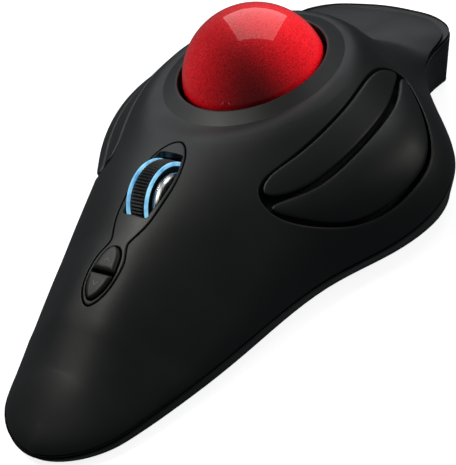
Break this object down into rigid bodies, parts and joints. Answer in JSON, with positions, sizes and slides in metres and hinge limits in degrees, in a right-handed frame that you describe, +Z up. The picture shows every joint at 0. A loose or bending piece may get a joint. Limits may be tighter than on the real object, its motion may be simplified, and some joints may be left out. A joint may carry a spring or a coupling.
{
  "type": "trackball mouse",
  "caption": "Symmetric wireless trackball mouse: large glossy ball in a raised collar, crescent buttons on both wings, lit scroll wheel and resolution buttons on the palm rest.",
  "frame": {"origin": "middle of the bounding box in plan, on the plane of the feet", "axes": "+Z up, +Y from the palm rest to the front edge, +X to the right"},
  "size_m": [0.094, 0.149, 0.047],
  "materials": {
    "soft_black": "matte soft-touch moulded",
    "black_plastic": "satin moulded",
    "red_ball": "polished, translucent, with metallic flecks",
    "blue_light": "lit translucent light guide",
    "chrome": "polished plated",
    "steel": "plain plated steel",
    "rubber": "fine ribbed rubber",
    "board_green": "solder-masked circuit board",
    "clear": "clear moulded lens",
    "cell_wrap": "printed foil sleeve, left plain"
  },
  "bodies": {
    "housing": {"top_shell": "soft_black", "base_shell": "soft_black", "ball_cup": "black_plastic", "ball_bearing_1": "steel", "ball_bearing_2": "steel", "ball_bearing_3": "steel", "sensor_lens": "clear", "optical_sensor": "black_plastic", "main_board": "board_green", "button_tray_left": "black_plastic", "button_tray_right": "black_plastic", "switch_board_left": "board_green", "switch_board_right": "board_green", "main_switch_left": "black_plastic", "main_switch_right": "black_plastic", "side_switch_left": "black_plastic", "side_switch_right": "black_plastic", "centre_panel": "soft_black", "dpi_board": "board_green", "dpi_switch_up": "black_plastic", "dpi_switch_down": "black_plastic", "wheel_board": "board_green", "wheel_switch": "black_plastic", "battery": "cell_wrap", "battery_plate": "steel", "battery_spring": "steel", "foot_front_right": "rubber", "foot_front_left": "rubber", "foot_wing_right": "rubber", "foot_wing_left": "rubber", "foot_rear": "rubber", "housing_screw_1": "steel", "housing_screw_2": "steel", "housing_screw_3": "steel"},
    "ball": {"trackball": "red_ball"},
    "wheel_frame": {"wheel_carrier": "black_plastic", "wheel_encoder": "board_green"},
    "wheel": {"wheel_tyre": "rubber", "wheel_hub": "black_plastic", "wheel_light_ring_left": "blue_light", "wheel_light_ring_right": "blue_light", "wheel_cap_left": "chrome", "wheel_cap_right": "chrome"},
    "main_button_left": {"main_button_left": "soft_black"},
    "main_button_right": {"main_button_right": "soft_black"},
    "side_button_left": {"side_button_left": "soft_black"},
    "side_button_right": {"side_button_right": "soft_black"},
    "dpi_button_up": {"dpi_button_up": "soft_black"},
    "dpi_button_down": {"dpi_button_down": "soft_black"},
    "power_slider": {"power_switch": "black_plastic"},
    "battery_door": {"battery_door": "soft_black"},
    "receiver": {"usb_receiver": "black_plastic"}
  },
  "joints": [
    {"name": "ball_roll", "type": "hinge", "parent": "housing", "child": "ball", "pos_m": [0, 0.0237, 0.03], "axis": [1, 0, 0], "continuous": true},
    {"name": "wheel_click", "type": "slide", "parent": "housing", "child": "wheel_frame", "axis": [0, 0, -1], "range_m": [0, 0.0004], "stiffness_N_per_m": 1500},
    {"name": "wheel_scroll", "type": "hinge", "parent": "wheel_frame", "child": "wheel", "pos_m": [0, -0.0157, 0.0249], "axis": [1, 0, 0], "continuous": true},
    {"name": "main_press_left", "type": "hinge", "parent": "housing", "child": "main_button_left", "pos_m": [-0.031, 0.036, 0.0205], "axis": [1, 0, 0], "range_deg": [0, 1], "stiffness_Nm_per_rad": 0.7},
    {"name": "side_press_left", "type": "hinge", "parent": "housing", "child": "side_button_left", "pos_m": [-0.0285, 0.036, 0.025], "axis": [1, 0, 0], "range_deg": [0, 1], "stiffness_Nm_per_rad": 0.7},
    {"name": "main_press_right", "type": "hinge", "parent": "housing", "child": "main_button_right", "pos_m": [0.031, 0.036, 0.0205], "axis": [1, 0, 0], "range_deg": [0, 1], "stiffness_Nm_per_rad": 0.7},
    {"name": "side_press_right", "type": "hinge", "parent": "housing", "child": "side_button_right", "pos_m": [0.0285, 0.036, 0.025], "axis": [1, 0, 0], "range_deg": [0, 1], "stiffness_Nm_per_rad": 0.7},
    {"name": "dpi_press_up", "type": "slide", "parent": "housing", "child": "dpi_button_up", "axis": [0, 0.399, -0.917], "range_m": [0, 0.0004], "stiffness_N_per_m": 1500},
    {"name": "dpi_press_down", "type": "slide", "parent": "housing", "child": "dpi_button_down", "axis": [0, 0.399, -0.917], "range_m": [0, 0.0004], "stiffness_N_per_m": 1500},
    {"name": "power_slide", "type": "slide", "parent": "housing", "child": "power_slider", "axis": [1, 0, 0], "range_m": [0, 0.003]},
    {"name": "battery_door_hinge", "type": "hinge", "parent": "housing", "child": "battery_door", "pos_m": [0.01, 0.0152, 0.0006], "axis": [1, 0, 0], "range_deg": [0, 75]},
    {"name": "receiver_pull", "type": "slide", "parent": "housing", "child": "receiver", "axis": [0, 0, -1], "range_m": [0, 0.012]}
  ]
}
